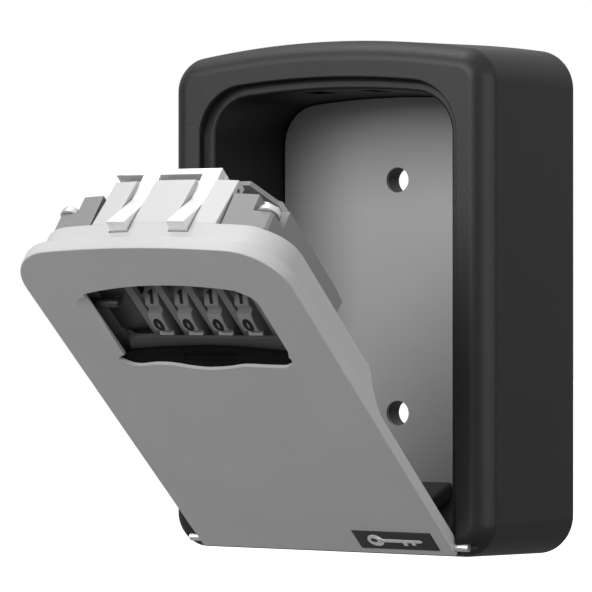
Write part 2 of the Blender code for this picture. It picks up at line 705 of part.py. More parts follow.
# ---------------------------------------------------------------- dials and their code cams
# drawn about the dial axis, with x = 0 in the middle of the dial
def make_dial(k):
    ob = rod_x(f"dial_{k + 1}", -DIAL_W / 2, DIAL_W / 2, (0, 0), DIAL_R, n=40)
    cut(ob, rod_x(f"dial_bore_{k}", -4, 4, (0, 0), SHAFT_R + BORE_GAP, n=20))
    return finish(ob, DIAL_GREY)


def make_cam(k):
    """Disc to the right of the dial, with a gate in its top and bottom."""
    gate_hw, gate_floor = 1.6, CAM_R - 3.7
    ob = rod_x(f"dial_cam_{k + 1}", 2.05, 5.45, (0, 0), CAM_R, n=32)
    cut(ob,
        rod_x(f"cam_bore_{k}", 0, 8, (0, 0), SHAFT_R + BORE_GAP, n=20),
        box(f"cam_gate_{k}", (0, -gate_hw, gate_floor), (8, gate_hw, CAM_R + 2)),
        box(f"cam_gate_low_{k}", (0, -gate_hw, -CAM_R - 2), (8, gate_hw, -gate_floor)))
    return finish(ob, ZINC)


# ---------------------------------------------------------------- latch, sliding along z
LATCH_BACK = 27.0
LATCH_OUTLINE = [(-17.1, 76.0), (18.5, 76.0), (18.5, 91.2), (16.6, 93.2), (10.6, 94.2),
                 (10.6, 103.2), (-17.1, 103.2)]      # (x, z)
HOOK = [(8.1, 109.0), (7.5, 106.5), (7.5, 103.6), (16.5, 101.2), (26.2, 101.2),
        (26.2, 103.0), (18.0, 104.3)]                # (y, z)
FENCE = [(12.63, 86.82), (15.23, 86.82), (15.23, 90.5), (26.2, 90.5), (26.2, 93.0),
         (12.63, 93.0)]                              # (y, z)


def make_latch_plate():
    """Plate with a foot, two hooks and a fence over each cam."""
    ob = slab("latch_plate", LATCH_OUTLINE, 25.5, LATCH_BACK)
    join(ob, box("latch_foot", (-17.0, 26.3, 76.1), (16.8, 28.7, 77.4)))
    for k, side in enumerate(SIDES):
        join(ob, profile(f"latch_hook_{k}", HOOK, *side_span(side, 5.4, 9.9)))
    for k, x in enumerate(DIAL_XS):
        join(ob, profile(f"latch_fence_{k}", FENCE, x + 2.2, x + 3.6))
    cut(ob, rod_y("latch_screw_hole", LEVER_SCREW, 24, 29, 0.95, n=12))
    return finish(ob, ZINC)


def make_release_lever():
    ob = box("release_lever", (-19.3, 4.2, 81.1), (-12.3, 5.8, 96.0))
    join(ob,
         rod_x("lever_thumb", -19.2, -12.5, (3.55, 85.9), 1.55, n=16),
         box("lever_arm", (-19.2, 5.0, 84.5), (-14.2, 25.2, 89.5)))
    cut(ob, rod_y("lever_thread", LEVER_SCREW, 19.0, 27, 0.88, n=12))
    return finish(ob, BLACK)


def make_lever_screw():
    return bolt("lever_screw", LEVER_SCREW, LATCH_BACK, head_r=1.7, head_h=1.0,
                shank_r=0.8, length=7.0)


SPRING_XS = (-9.0, 12.0)
SPRING_Y = 27.15
SPRING_Z = (65.45, 75.75)   # lower and upper end
SPRING_INSET = 0.3          # from each end to the wire's centre line
COIL_R = 1.3
WIRE_R = 0.27
COIL_TURNS = 6
TURN_STEPS = 10


def make_latch_spring(name, cx):
    bottom, top = SPRING_Z
    steps = COIL_TURNS * TURN_STEPS
    rise = top - bottom - 2 * SPRING_INSET
    pts = []
    for i in range(steps + 1):
        angle = 2 * math.pi * i / TURN_STEPS
        pts.append((cx + COIL_R * math.cos(angle), SPRING_Y + COIL_R * math.sin(angle),
                    bottom + SPRING_INSET + rise * i / steps))
    curve = bpy.data.curves.new(name + "_path", "CURVE")
    curve.dimensions = "3D"
    curve.bevel_depth = WIRE_R * MM
    curve.bevel_resolution = 1
    curve.use_fill_caps = True
    add_path(curve, pts, closed=False)
    mesh = mesh_of_curve(curve)
    weld(mesh)
    return finish(new_object(name, mesh), STEEL)


# ---------------------------------------------------------------- sliding shutter
LIP_LOW = [            # lower edge of the thumb lip, (x, z)
    (-19.2, 70.2), (-16.5, 69.95), (-13.1, 70.15), (-8.6, 69.4), (-3.4, 68.55), (0.8, 68.45),
    (5.0, 69.0), (9.7, 69.95), (13.5, 70.25), (18.0, 70.05), (21.0, 70.1),
]
WING = [(-20.6, 71.0), (-21.9, 72.5), (-20.2, 73.35), (-18.6, 73.2), (-18.6, 70.2)]  # (x, z)
WING_FRONT = -0.32


def make_shutter():
    """Plate with a thumb lip and a small wing left of the lip."""
    lip = (LIP_LOW + arc(21.0, 71.3, 1.2, -70, 50, 4)
           + crown_span(20.6, -19.2, 8, top=75.9, radius=70.0, cx=1.5))
    ob = box("shutter", (-24.6, 1.0, 46.9), (24.6, 1.75, 75.5))
    join(ob,
         slab("shutter_lip", lip, 0.3, 1.3),
         slab("shutter_wing", WING, WING_FRONT, -0.05),
         box("shutter_wing_root", (-19.2, WING_FRONT, 70.3), (-18.4, 0.6, 73.1)))
    return finish(ob, BLACK)


def make_code_slider():
    """Code-change slider on the rear cover."""
    ob = box("code_slider", (2.0, 28.25, 82.6), (11.0, 28.75, 88.4))
    join(ob,
         box("code_neck", (5.0, 28.5, 84.0), (8.0, 31.0, 87.0)),
         box("code_thumb", (4.3, 30.45, 83.2), (8.7, 31.7, 87.8)))
    return finish(ob, BLACK)


# ---------------------------------------------------------------- assembly
case_root = empty("case", (0, -CASE_D, -CASE_MID_Z))
mount_on(case_root, make_case_body(), make_back_plate(), make_key_ramp(),
         *make_plate_screws(), *make_hinge_pins())

door_axis = empty("door_axis", (0, HINGE_Y - CASE_D, HINGE_Z - CASE_MID_Z), tilt=DOOR_OPEN)
mount_on(door_axis, make_door_shell(), make_label_badge(), make_lock_housing(),
         *make_housing_screws(), make_dial_frame(), make_shutter_guide(), make_dial_shaft(),
         make_shaft_clip(), make_detent_spring(), make_rear_cover(), *make_cover_screws(),
         *[make_latch_spring(f"latch_spring_{k}", x) for k, x in enumerate(SPRING_XS, 1)],
         offset=DOOR_ORIGIN)

for k, x in enumerate(DIAL_XS):
    dial_axis = empty(f"dial_axis_{k + 1}", (x, DIAL_B - HINGE_B, DIAL_S - HINGE_S),
                      parent=door_axis)
    mount_on(dial_axis, make_dial(k), make_cam(k))

# pieces that slide on the door
for axis_name, pieces in (
        ("latch_axis", (make_latch_plate(), make_release_lever(), make_lever_screw())),
        ("shutter_axis", (make_shutter(),)),
        ("code_axis", (make_code_slider(),))):
    mount_on(empty(axis_name, DOOR_ORIGIN, parent=door_axis), *pieces)
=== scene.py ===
"""Key lock box with a hinged door, four number wheels and a latch, shown with the door open.

Shapes are modelled in millimetres, upright, and scaled to metres when they are placed. x runs to
the right seen from the front, y backwards from the front face and z up from the bottom. The case
has its own origin; everything else is drawn on the closed door, with y behind the door's front
face and z up from its bottom edge, and swings open with it about the hinge along the bottom.
"""
import json
import math

import bmesh
import bpy
from mathutils import Matrix, Vector


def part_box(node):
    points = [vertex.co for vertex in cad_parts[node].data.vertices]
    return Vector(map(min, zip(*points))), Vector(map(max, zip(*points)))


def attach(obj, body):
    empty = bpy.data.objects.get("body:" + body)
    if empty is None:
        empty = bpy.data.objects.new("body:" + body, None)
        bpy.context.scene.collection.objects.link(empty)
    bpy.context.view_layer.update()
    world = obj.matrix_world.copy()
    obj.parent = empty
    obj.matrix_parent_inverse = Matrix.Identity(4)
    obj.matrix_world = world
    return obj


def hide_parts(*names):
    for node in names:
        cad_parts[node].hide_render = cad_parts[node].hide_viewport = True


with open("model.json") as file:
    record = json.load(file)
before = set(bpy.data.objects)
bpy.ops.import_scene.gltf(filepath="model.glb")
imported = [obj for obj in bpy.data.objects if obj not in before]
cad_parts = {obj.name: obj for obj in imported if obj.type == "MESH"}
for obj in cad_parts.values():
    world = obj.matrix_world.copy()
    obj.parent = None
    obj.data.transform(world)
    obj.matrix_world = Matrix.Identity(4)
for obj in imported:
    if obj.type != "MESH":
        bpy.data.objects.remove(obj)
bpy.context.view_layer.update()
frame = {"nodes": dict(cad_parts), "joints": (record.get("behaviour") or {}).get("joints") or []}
NODES = frame["nodes"]
JOINTS = {j["name"]: j for j in frame["joints"]}

# ---------------------------------------------------------------- placing
MM = 0.001
DOOR_HINGE_Y, DOOR_HINGE_Z = 1.6, 1.4          # hinge axis in the door's own millimetres
CASE_HINGE_Y, CASE_HINGE_Z = 1.42, 2.419       # the same axis in the case's
SCALE = Matrix.Diagonal((MM, MM, MM, 1))
CASE_DEPTH = -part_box("case_body")[0].y
HINGE = Vector(JOINTS["door_hinge"]["pos_m"])
OPENING = math.radians(-JOINTS["door_hinge"]["range_deg"][0])
CASE = Matrix.Translation((0, -CASE_DEPTH, -0.060)) @ SCALE
DOOR = (Matrix.Translation(HINGE) @ Matrix.Rotation(OPENING, 4, "X")
        @ Matrix.Translation((0, -DOOR_HINGE_Y * MM, -DOOR_HINGE_Z * MM)) @ SCALE)
TO_DOOR = DOOR.inverted()

# ---------------------------------------------------------------- shared sizes
SIDES = (-1, 1)
TOP_SCREW_X, TOP_BOSS_Z = 25.4, 101.9          # upper housing screws and their bosses
LOW_SCREW_X, LOW_SCREW_Z = 25.75, 66.0
INNER_ARCH_R = 222.0                           # arch of the case opening and parts beside it
SHAFT_Y, SHAFT_Z = 13.93, 79.5
WHEEL_STATIONS = [-8.12 + 7.67 * k for k in range(4)]   # x that wheel slots and fences start from
WHEEL_R = 11.35
LEVER_SCREW_X, LEVER_SCREW_Z = -15.7, 87.0

scene = bpy.context.scene
stock = bpy.data.collections.new("shapes")
scene.collection.children.link(stock)


# ---------------------------------------------------------------- outlines
def arc(cx, cz, radius, start, end, steps):
    angles = [math.radians(start + (end - start) * i / steps) for i in range(steps + 1)]
    return [(cx + radius * math.cos(a), cz + radius * math.sin(a)) for a in angles]


def crown(x, top, radius, centre=0.0):
    """Height at x of an arch that peaks at top."""
    return top - radius + math.sqrt(radius ** 2 - (x - centre) ** 2)


def arched(half_width, bottom, top, arch_r, corner_r, foot_r=0.0,
           arch_steps=24, corner_steps=14, grow=0.0):
    """Upright outline with an arched top, counter-clockwise from the bottom left."""
    half_width += grow
    bottom -= grow
    top += grow
    arch_r += grow
    corner_r = max(corner_r + grow, 0.05)
    arch_z = top - arch_r
    corner_x = half_width - corner_r
    corner_z = arch_z + math.sqrt((arch_r - corner_r) ** 2 - corner_x ** 2)
    meet = math.degrees(math.atan2(corner_z - arch_z, corner_x))
    if foot_r:
        foot_r = max(foot_r + grow, 0.05)
        foot_x, foot_z = half_width - foot_r, bottom + foot_r
        points = (arc(-foot_x, foot_z, foot_r, 180, 270, corner_steps)
                  + arc(foot_x, foot_z, foot_r, 270, 360, corner_steps))
    else:
        points = [(-half_width, bottom), (half_width, bottom)]
    points += arc(corner_x, corner_z, corner_r, 0, meet, corner_steps)
    points += arc(0, arch_z, arch_r, meet, 180 - meet, arch_steps)[1:-1]
    points += arc(-corner_x, corner_z, corner_r, 180 - meet, 180, corner_steps)
    return points


def smooth_line(points, steps=4):
    """Catmull-Rom curve through the points."""
    out = []
    last = len(points) - 1
    for i in range(last):
        around = points[max(i - 1, 0)], points[i], points[i + 1], points[min(i + 2, last)]
        for k in range(steps):
            t = k / steps
            out.append(tuple(
                0.5 * ((2 * b) + (-a + c) * t + (2 * a - 5 * b + 4 * c - d) * t * t
                       + (-a + 3 * b - 3 * c + d) * t ** 3)
                for a, b, c, d in zip(*around)))
    return out + [points[-1]]


def offset_outline(points, distance):
    """Closed clockwise outline moved outwards."""
    out = []
    for i, (x, z) in enumerate(points):
        ax, az = points[i - 1]
        bx, bz = points[(i + 1) % len(points)]
        length = math.hypot(bx - ax, bz - az) or 1.0
        out.append((x - (bz - az) / length * distance, z + (bx - ax) / length * distance))
    return out


def rect(x0, z0, x1, z1):
    return [(x0, z0), (x1, z0), (x1, z1), (x0, z1)]


def round_rect(x0, z0, x1, z1, radius, steps=6):
    return (arc(x0 + radius, z0 + radius, radius, 180, 270, steps)
            + arc(x1 - radius, z0 + radius, radius, 270, 360, steps)
            + arc(x1 - radius, z1 - radius, radius, 0, 90, steps)
            + arc(x0 + radius, z1 - radius, radius, 90, 180, steps))


def span(side, near, far):
    """Range in x from near to far of the middle, on the left (-1) or right (1)."""
    return sorted((side * near, side * far))


# ---------------------------------------------------------------- shapes
def from_bm(name, bm):
    bmesh.ops.recalc_face_normals(bm, faces=bm.faces)
    mesh = bpy.data.meshes.new(name)
    bm.to_mesh(mesh)
    bm.free()
    ob = bpy.data.objects.new(name, mesh)
    stock.objects.link(ob)
    return ob


def slab(name, outline, y0, y1, *holes):
    """Flat outline in x and z, with thickness from y0 to y1."""
    curve = bpy.data.curves.new(name + "_outline", "CURVE")
    curve.dimensions = "2D"
    curve.fill_mode = "BOTH"
    curve.extrude = (y1 - y0) / 2
    for points in (outline, *holes):
        spline = curve.splines.new("POLY")
        spline.points.add(len(points) - 1)
        for point, (x, z) in zip(spline.points, points):
            point.co = (x, z, 0, 1)
        spline.use_cyclic_u = True
    ob = bpy.data.objects.new(name + "_outline", curve)
    stock.objects.link(ob)
    bpy.context.view_layer.update()
    graph = bpy.context.evaluated_depsgraph_get()
    mesh = bpy.data.meshes.new_from_object(ob.evaluated_get(graph))
    bpy.data.objects.remove(ob, do_unlink=True)
    bpy.data.curves.remove(curve)
    mesh.transform(Matrix.Translation((0, (y0 + y1) / 2, 0))
                   @ Matrix.Rotation(math.radians(90), 4, "X"))
    bm = bmesh.new()
    bm.from_mesh(mesh)
    bpy.data.meshes.remove(mesh)
    merge_flat(bm, dist=0.001, angle=0.05)
    return from_bm(name, bm)


def merge_flat(bm, dist, angle, degenerate=False):
    """Merges vertices closer than dist and dissolves edges flatter than angle, in degrees."""
    bmesh.ops.remove_doubles(bm, verts=bm.verts, dist=dist)
    if degenerate:
        bmesh.ops.dissolve_degenerate(bm, edges=bm.edges, dist=dist)
    bmesh.ops.dissolve_limit(bm, angle_limit=math.radians(angle), verts=bm.verts, edges=bm.edges)


def profile(name, points, x0, x1):
    """Section in y and z, extruded along x."""
    ob = slab(name, [(-y, z) for y, z in points], x0, x1)
    ob.data.transform(Matrix(((0, 1, 0, 0), (-1, 0, 0, 0), (0, 0, 1, 0), (0, 0, 0, 1))))
    return ob


def box(name, *ranges):
    """Box from its ranges in x, y and z."""
    bm = bmesh.new()
    bmesh.ops.create_cube(bm, size=1.0)
    matrix = (Matrix.Translation([(a + b) / 2 for a, b in ranges])
              @ Matrix.Diagonal((*[b - a for a, b in ranges], 1)))
    bmesh.ops.transform(bm, matrix=matrix, verts=bm.verts)
    return from_bm(name, bm)


def rod(name, start, end, radius, sides):
    start, end = Vector(start), Vector(end)
    bm = bmesh.new()
    bmesh.ops.create_cone(bm, cap_ends=True, cap_tris=False, segments=sides, radius1=radius,
                          radius2=radius, depth=(end - start).length)
    turn = Vector((0, 0, 1)).rotation_difference((end - start).normalized())
    matrix = Matrix.Translation((start + end) / 2) @ turn.to_matrix().to_4x4()
    bmesh.ops.transform(bm, matrix=matrix, verts=bm.verts)
    return from_bm(name, bm)


def rod_x(name, y, z, x0, x1, radius, sides=48):
    return rod(name, (x0, y, z), (x1, y, z), radius, sides)


def rod_y(name, x, z, y0, y1, radius, sides=48):
    return rod(name, (x, y0, z), (x, y1, z), radius, sides)


def loft(name, rings):
    """Closed rings of (x, y, z) with equal counts, joined by quads, capped at both ends."""
    bm = bmesh.new()
    rows = [[bm.verts.new(p) for p in ring] for ring in rings]
    n = len(rows[0])
    for a, b in zip(rows, rows[1:]):
        for i in range(n):
            bm.faces.new((a[i], a[(i + 1) % n], b[(i + 1) % n], b[i]))
    bm.faces.new(rows[0][::-1])
    bm.faces.new(rows[-1])
    return from_bm(name, bm)


def arched_loft(name, outline, stations):
    """Loft of one arched outline; stations are (y, growth of the outline)."""
    return loft(name, [[(x, y, z) for x, z in arched(**outline, grow=grow)]
                       for y, grow in stations])


def turned(name, base, axis, points, sides=48):
    """Solid of revolution about an axis through base; points are (along, radius)."""
    turn = Vector((0, 0, 1)).rotation_difference(Vector(axis).normalized()).to_matrix()
    angles = [2 * math.pi * i / sides for i in range(sides)]
    return loft(name, [[Vector(base) + turn @ Vector((r * math.cos(a), r * math.sin(a), h))
                        for a in angles] for h, r in points])


def apply_all(ob):
    bpy.context.view_layer.update()
    graph = bpy.context.evaluated_depsgraph_get()
    mesh = bpy.data.meshes.new_from_object(ob.evaluated_get(graph))
    ob.modifiers.clear()
    old = ob.data
    ob.data = mesh
    bpy.data.meshes.remove(old)


def combine(ob, tools, operation):
    for tool in tools:
        boolean = ob.modifiers.new("boolean", "BOOLEAN")
        boolean.operation = operation
        boolean.object = tool
        boolean.solver = "EXACT"
    apply_all(ob)
    for tool in tools:
        bpy.data.objects.remove(tool, do_unlink=True)


def cut(ob, *tools):
    combine(ob, tools, "DIFFERENCE")


def join(ob, *tools):
    combine(ob, tools, "UNION")


def clean(ob):
    bm = bmesh.new()
    bm.from_mesh(ob.data)
    merge_flat(bm, dist=0.004, angle=0.1, degenerate=True)
    bm.to_mesh(ob.data)
    bm.free()


def bevel(ob, width, segments=2, angle=32, miter="MITER_ARC"):
    """Cleans the mesh first, so that only real edges are rounded."""
    clean(ob)
    mod = ob.modifiers.new("edges", "BEVEL")
    mod.width = width
    mod.segments = segments
    mod.limit_method = "ANGLE"
    mod.angle_limit = math.radians(angle)
    mod.miter_outer = miter
    apply_all(ob)


def set_material(ob, material):
    ob.data.materials.clear()
    ob.data.materials.append(material)


def weight_normals(ob):
    mod = ob.modifiers.new("normals", "WEIGHTED_NORMAL")
    mod.keep_sharp = True
    mod.weight = 50


def place(ob, body, material, *nodes, matrix=DOOR, angle=30, weighted=True):
    """Moves a finished shape into the scene, on its body, in place of the CAD nodes."""
    ob.data.transform(matrix)
    set_material(ob, material)
    ob.data.shade_smooth()
    ob.data.set_sharp_from_angle(angle=math.radians(angle))
    if weighted:
        weight_normals(ob)
    stock.objects.unlink(ob)
    scene.collection.objects.link(ob)
    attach(ob, body)
    if nodes:
        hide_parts(*nodes)


# ---------------------------------------------------------------- materials
def add_node(tree, kind, values=None):
    """New shader node, with values for its inputs by name or number."""
    node = tree.nodes.new("ShaderNode" + kind)
    for key, value in (values or {}).items():
        node.inputs[key].default_value = value
    return node


def finish(name, grey, rough, grain, bump, vary, metal=0.0, spec=0.5, coat=0.0, brushed=None):
    """Grey material with broad tone variation and fine grain in bump and roughness.

    grain is the fine noise scale, vary the share by which the tone drifts, and brushed stretches
    the grain by a scale per axis.
    """
    material = bpy.data.materials.new(name)
    material.use_nodes = True
    tree = material.node_tree
    link = tree.links.new
    shader = tree.nodes["Principled BSDF"].inputs
    shader["Metallic"].default_value = metal
    shader["Specular IOR Level"].default_value = spec
    if coat:
        shader["Coat Weight"].default_value = coat
        shader["Coat Roughness"].default_value = 0.15
    place_on = add_node(tree, "TexCoord").outputs["Object"]
    grain_place = place_on
    if brushed:
        mapping = add_node(tree, "Mapping", {"Scale": brushed})
        link(place_on, mapping.inputs["Vector"])
        grain_place = mapping.outputs["Vector"]
    broad = add_node(tree, "TexNoise", {"Scale": 45.0, "Detail": 4.0})
    link(place_on, broad.inputs["Vector"])
    fine = add_node(tree, "TexNoise", {"Scale": grain, "Detail": 3.0, "Roughness": 0.6})
    link(grain_place, fine.inputs["Vector"])
    tone = add_node(tree, "MapRange", {"From Min": 0.3, "From Max": 0.7,
                                       "To Min": 1.0 - vary, "To Max": 1.0 + vary})
    link(broad.outputs["Fac"], tone.inputs["Value"])
    colour = tree.nodes.new("ShaderNodeVectorMath")
    colour.operation = "SCALE"
    colour.inputs[0].default_value = (grey, grey, grey)
    link(tone.outputs["Result"], colour.inputs["Scale"])
    link(colour.outputs["Vector"], shader["Base Color"])
    rough_range = add_node(tree, "MapRange", {"To Min": rough - 0.06, "To Max": rough + 0.06})
    link(fine.outputs["Fac"], rough_range.inputs["Value"])
    link(rough_range.outputs["Result"], shader["Roughness"])
    relief = add_node(tree, "Bump", {"Strength": bump, "Distance": 0.0002})
    link(fine.outputs["Fac"], relief.inputs["Height"])
    link(relief.outputs["Normal"], shader["Normal"])
    material.diffuse_color = (grey, grey, grey, 1)
    return material


CHARCOAL = finish("charcoal_powder_coat", grey=0.0085, rough=0.46, grain=2600, bump=0.20,
                  vary=0.08, spec=0.34)
PLATE = finish("light_grey_plate", grey=0.31, rough=0.42, grain=1500, bump=0.05, vary=0.03,
               spec=0.4)
DOOR_GREY = finish("door_grey_paint", grey=0.43, rough=0.40, grain=1400, bump=0.06, vary=0.025)
HOUSING = finish("housing_grey_paint", grey=0.19, rough=0.42, grain=1700, bump=0.08, vary=0.03)
ZINC = finish("bright_zinc", grey=0.82, rough=0.30, grain=900, bump=0.02, vary=0.02, metal=0.55)
STEEL = finish("bright_steel", grey=0.78, rough=0.24, grain=1500, bump=0.03, vary=0.03,
               metal=0.85, brushed=(9, 1, 1))
FRAME_GREY = finish("dark_grey_moulding", grey=0.16, rough=0.48, grain=2200, bump=0.10, vary=0.04)
GUIDE = finish("guide_black_moulding", grey=0.042, rough=0.50, grain=2200, bump=0.10, vary=0.04)
LEVER = finish("lever_black_moulding", grey=0.032, rough=0.34, grain=2400, bump=0.10, vary=0.05)
SHUTTER = finish("shutter_black_moulding", grey=0.002, rough=0.55, grain=2400, bump=0.10,
                 vary=0.05, spec=0.06)
RAMP = finish("ramp_dark_moulding", grey=0.055, rough=0.50, grain=2200, bump=0.10, vary=0.04)
WHEEL = finish("wheel_grey_moulding", grey=0.22, rough=0.38, grain=2600, bump=0.05, vary=0.03,
               metal=0.05)
# Cam zinc painted dark grey as painted shade, because the cams sit in shadow between the wheels
SHADED_CAM = finish("zinc_cams_painted_shade", grey=0.34, rough=0.45, grain=1500, bump=0.05, vary=0.04, metal=0.1)
INK = finish("digit_black", grey=0.004, rough=0.5, grain=3000, bump=0.05, vary=0.0, spec=0.3)
BADGE = finish("badge_black_gloss", grey=0.010, rough=0.18, grain=600, bump=0.02, vary=0.03,
               coat=0.3)
MARK = finish("badge_mark_silver", grey=0.62, rough=0.35, grain=1500, bump=0.03, vary=0.03,
              metal=0.1)

# ---------------------------------------------------------------- case
CASE_OUTLINE = dict(half_width=43.0, bottom=0.0, top=119.9, arch_r=231.6, corner_r=8.0,
                    foot_r=8.0, arch_steps=36)
RECESS_OUTLINE = dict(half_width=34.55, bottom=-14.0, top=111.1, arch_r=224.0, corner_r=12.4,
                      arch_steps=30)
INSIDE_OUTLINE = dict(half_width=32.0, bottom=4.0, top=108.5, arch_r=INNER_ARCH_R, corner_r=9.8,
                      foot_r=5.0, arch_steps=30)
FRONT_ROUND_WIDTH, FRONT_ROUND_DEPTH = 5.0, 4.6
FRONT_ROUND_ANGLE = math.radians(56)
WALL_END, WALL_FLARE = 41.3, 1.45              # where the side walls end, and their draft
RECESS_DEPTH, RECESS_ROUND = 3.1, 0.9
CUT_BACK = 44.0                                # behind the case's back, for cutters


def case_stations():
    """(y, growth): rounded front edge, flaring walls, eased back edge."""
    stations = [(0.0, -FRONT_ROUND_WIDTH)]
    for i in range(1, 13):
        t = FRONT_ROUND_ANGLE * i / 12
        y = FRONT_ROUND_DEPTH * (1 - math.cos(t)) / (1 - math.cos(FRONT_ROUND_ANGLE))
        stations.append((y, -FRONT_ROUND_WIDTH
                         * (1 - math.sin(t) / math.sin(FRONT_ROUND_ANGLE))))
    for i in range(1, 7):
        stations.append((FRONT_ROUND_DEPTH + (WALL_END - FRONT_ROUND_DEPTH) * i / 6,
                         WALL_FLARE * i / 6))
    return stations + [(41.8, 1.30), (42.0, 0.85)]


def recess_stations():
    """(y, growth): eased mouth, straight side, rounded floor edge."""
    stations = [(-1.0, 0.45), (0.0, 0.45), (0.12, 0.2), (0.45, 0.0)]
    for i in range(6):
        t = math.radians(90 * i / 5)
        stations.append((RECESS_DEPTH - RECESS_ROUND + RECESS_ROUND * math.sin(t),
                         -RECESS_ROUND * (1 - math.cos(t))))
    return stations


def build_case():
    case = arched_loft("case_shell", CASE_OUTLINE, case_stations())
    cut(case, arched_loft("recess", RECESS_OUTLINE, recess_stations()))
    cut(case, arched_loft("inside", INSIDE_OUTLINE,
                          [(2.0, 0.7), (RECESS_DEPTH, 0.7), (3.2, 0.4), (3.45, 0.15),
                           (3.9, 0.0), (34.9, 0.0), (37.0, 0.0)]))
    recess_half = RECESS_OUTLINE["half_width"]
    cut(case, rod_x("hinge_relief", CASE_HINGE_Y, CASE_HINGE_Z, -recess_half, recess_half, 2.3))
    cut(case, *[rod_y("back_hole", 0, z, 35, CUT_BACK, 3.07) for z in (88.2, 31.6)])
    tools = []
    for side in SIDES:
        side_core = span(side, 35.4, 41.4)
        tools += [
            box("strike", span(side, 4.9, 10.4), (7.4, 16.0), (105.5, 110.8)),
            rod_x("pin_hole", CASE_HINGE_Y, CASE_HINGE_Z, side * 33.5, side * 40.8, 1.05, 24),
            slab("side_core", round_rect(side_core[0], 10.0, side_core[1], 98.0, 2.4),
                 13.0, CUT_BACK),
            rod_y("back_side_hole", side * 24, 60, 35, CUT_BACK, 1.55, 24),
            rod_y("back_side_bore", side * 24, 60, 39.6, CUT_BACK, 3.1, 32),
        ]
    upper = arc(0, 117.6 - 228, 228, 97.6, 82.4, 16)[::-1]
    lower = arc(0, 111.9 - 222, 222, 97.8, 82.2, 16)
    tools.append(slab("top_core", upper + lower, 13.0, CUT_BACK))
    cut(case, *tools)
    clean(case)
    place(case, "case", CHARCOAL, "case_body", matrix=CASE, angle=28)


# ---------------------------------------------------------------- CAD pieces that stay
KEPT_NODES = (
    (PLATE, ("back_plate",)),
    (RAMP, ("key_ramp",)),
    (STEEL, ("back_plate_screw_1", "back_plate_screw_2", "hinge_pin_left", "hinge_pin_right",
             "housing_screw_low_left", "housing_screw_low_right", "dial_shaft", "shaft_clip",
             "detent_spring", "cover_screw_1", "cover_screw_2", "latch_spring_1",
             "latch_spring_2", "lever_screw")),
    (HOUSING, ("rear_cover",)),
    # cams: zinc painted darker as painted shade
    (SHADED_CAM, ("dial_cam_1", "dial_cam_2", "dial_cam_3", "dial_cam_4")),
    (LEVER, ("code_slider",)),
)


def dress_kept_nodes():
    for material, names in KEPT_NODES:
        for name in names:
            set_material(NODES[name], material)
            weight_normals(NODES[name])


# ---------------------------------------------------------------- door casting
DOOR_OUTLINE = dict(half_width=34.15, bottom=0.0, top=109.75, arch_r=225.0, corner_r=12.5,
                    arch_steps=36, corner_steps=20)
# (y, growth): rounded front edge, straight side, eased back edge
DOOR_STATIONS = [(0.0, -0.4), (0.06, -0.17), (0.2, -0.05), (0.42, 0.0), (2.9, 0.0),
                 (3.1, -0.08), (3.2, -0.3)]
SKIRT_FOOT = 34.0
BLOCK_LEDGE_Y, BLOCK_SLOPE = 9.77, 0.108       # the latch block's sloping top starts at the ledge
# lower end of the skirt, (y, z)
SKIRT_TAPER = smooth_line([
    (10.95, 57.0), (10.6, 55.6), (9.9, 54.2), (8.4, 52.4), (7.0, 49.3), (6.0, 46.4),
    (4.6, 42.0), (3.2, 37.0)])
# shutter's thumb lip, (x, z), clockwise
LIP = smooth_line([
    (-22.1, 71.8), (-20.7, 72.85), (-19.4, 73.3), (-16.9, 73.75), (-8.9, 74.5), (0.7, 75.0),
    (9.75, 74.75), (16.7, 73.95), (21.45, 73.3), (22.6, 72.7), (22.75, 71.8), (22.1, 70.6),
    (20.9, 69.75), (19.4, 69.4), (14.6, 69.5), (10.3, 69.7), (7.5, 69.3), (5.0, 68.8),
    (0.4, 68.4), (-2.5, 68.6), (-4.9, 69.0), (-7.6, 69.65), (-9.6, 70.0), (-12.6, 70.1),
    (-15.1, 69.8), (-17.5, 69.5), (-19.3, 69.75), (-20.75, 70.6), (-22.1, 71.8)])[:-1]


def add_skirt(door):
    """Upright wall behind the door, open at the foot, with a sloping top part."""
    outer = arched(31.7, SKIRT_FOOT, 106.6, INNER_ARCH_R, 9.8)
    inner = arched(29.2, SKIRT_FOOT, 104.1, 219.5, 7.4)
    join(door, slab("skirt", [outer[0], inner[0]] + inner[:0:-1] + outer[1:], 2.8, 10.8))
    slope = [(9.8, 112.0), (9.8, 103.2), (10.85, 93.5), (13.0, 93.5), (13.0, 112.0)]
    cut(door, profile("slope", slope, -40, 40))


def add_latch_block(door):
    """Block behind the middle of the top edge, with an arched top that falls to the back."""
    section = [(4.0, 105.4), (4.0, 102.0), (23.5, 101.6), (23.5, 107.2), (9.79, 107.2),
               (9.79, 105.4)]
    block = profile("block", section, -15.9, 15.9)
    arch = arc(0, 106.6 - 222, 222, 85.7, 94.3, 24)
    over = slab("over", arch + [(-16.6, 112.0), (16.6, 112.0)], BLOCK_LEDGE_Y, 25.0)
    for v in over.data.vertices:
        v.co.z -= BLOCK_SLOPE * (v.co.y - BLOCK_LEDGE_Y)
    cut(block, over)
    bevel(block, 0.22, segments=3, angle=50, miter="MITER_SHARP")
    join(door, block)


def window_outline():
    """Wheel window, with a shallow arch that peaks right of the middle."""
    steps = 20
    right, width = 19.4, 38.9
    xs = [right - i * (width / steps) for i in range(steps + 1)]
    top = [(x, crown(x, 97.2, 82, centre=2.0)) for x in xs]
    return ([(-19.9, 72.2), (22.5, 72.2), (23.3, 74.6)] + arc(18.9, 90.3, 4.5, 0, 55, 10)
            + top + [(-20.0, top[-1][1] - 0.1)])


